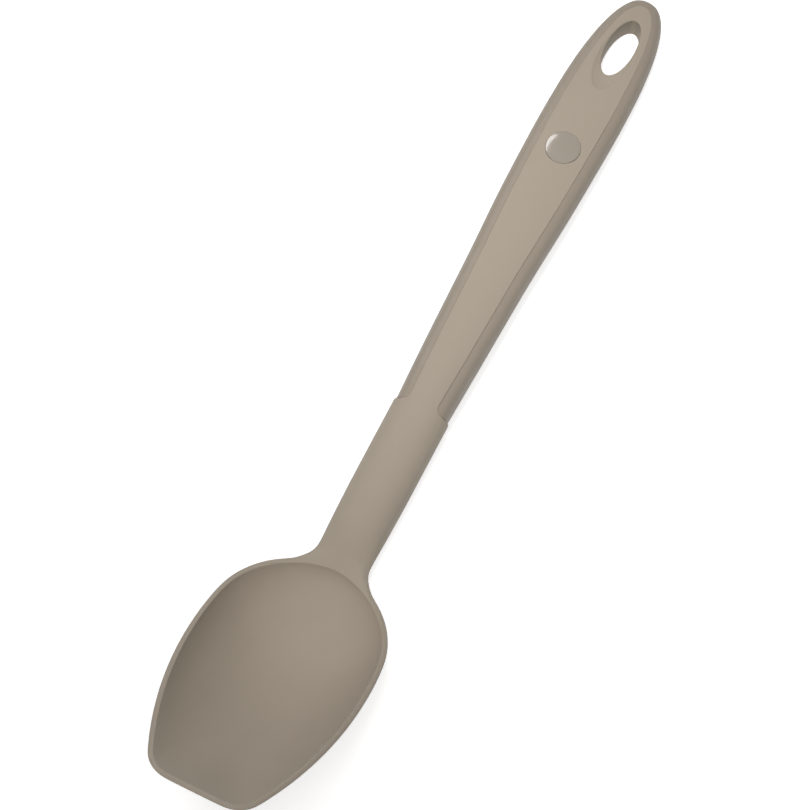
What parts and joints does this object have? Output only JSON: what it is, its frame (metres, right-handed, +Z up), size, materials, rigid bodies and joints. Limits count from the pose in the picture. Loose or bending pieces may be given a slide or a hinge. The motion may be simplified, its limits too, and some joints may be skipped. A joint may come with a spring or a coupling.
{
  "type": "sauce spoon",
  "caption": "Warm grey silicone sauce spoon with a squared-off scoop bowl, hard-railed drooping handle and an oval hang hole.",
  "frame": {"origin": "middle of the spoon's bounding box, on the surface that it lies on", "axes": "+X along the spoon towards the handle's tip, +Y across it, +Z up with the bowl open upwards"},
  "size_m": [0.2736, 0.052, 0.0387],
  "materials": {
    "silicone": "fine matte",
    "nylon": "satin matte",
    "core_nylon": "as moulded, hidden",
    "badge_gloss": "smooth"
  },
  "bodies": {
    "root": {"silicone_skin": "silicone", "handle_frame": "nylon", "stiffening_core": "core_nylon", "badge_disc": "badge_gloss"}
  },
  "joints": []
}
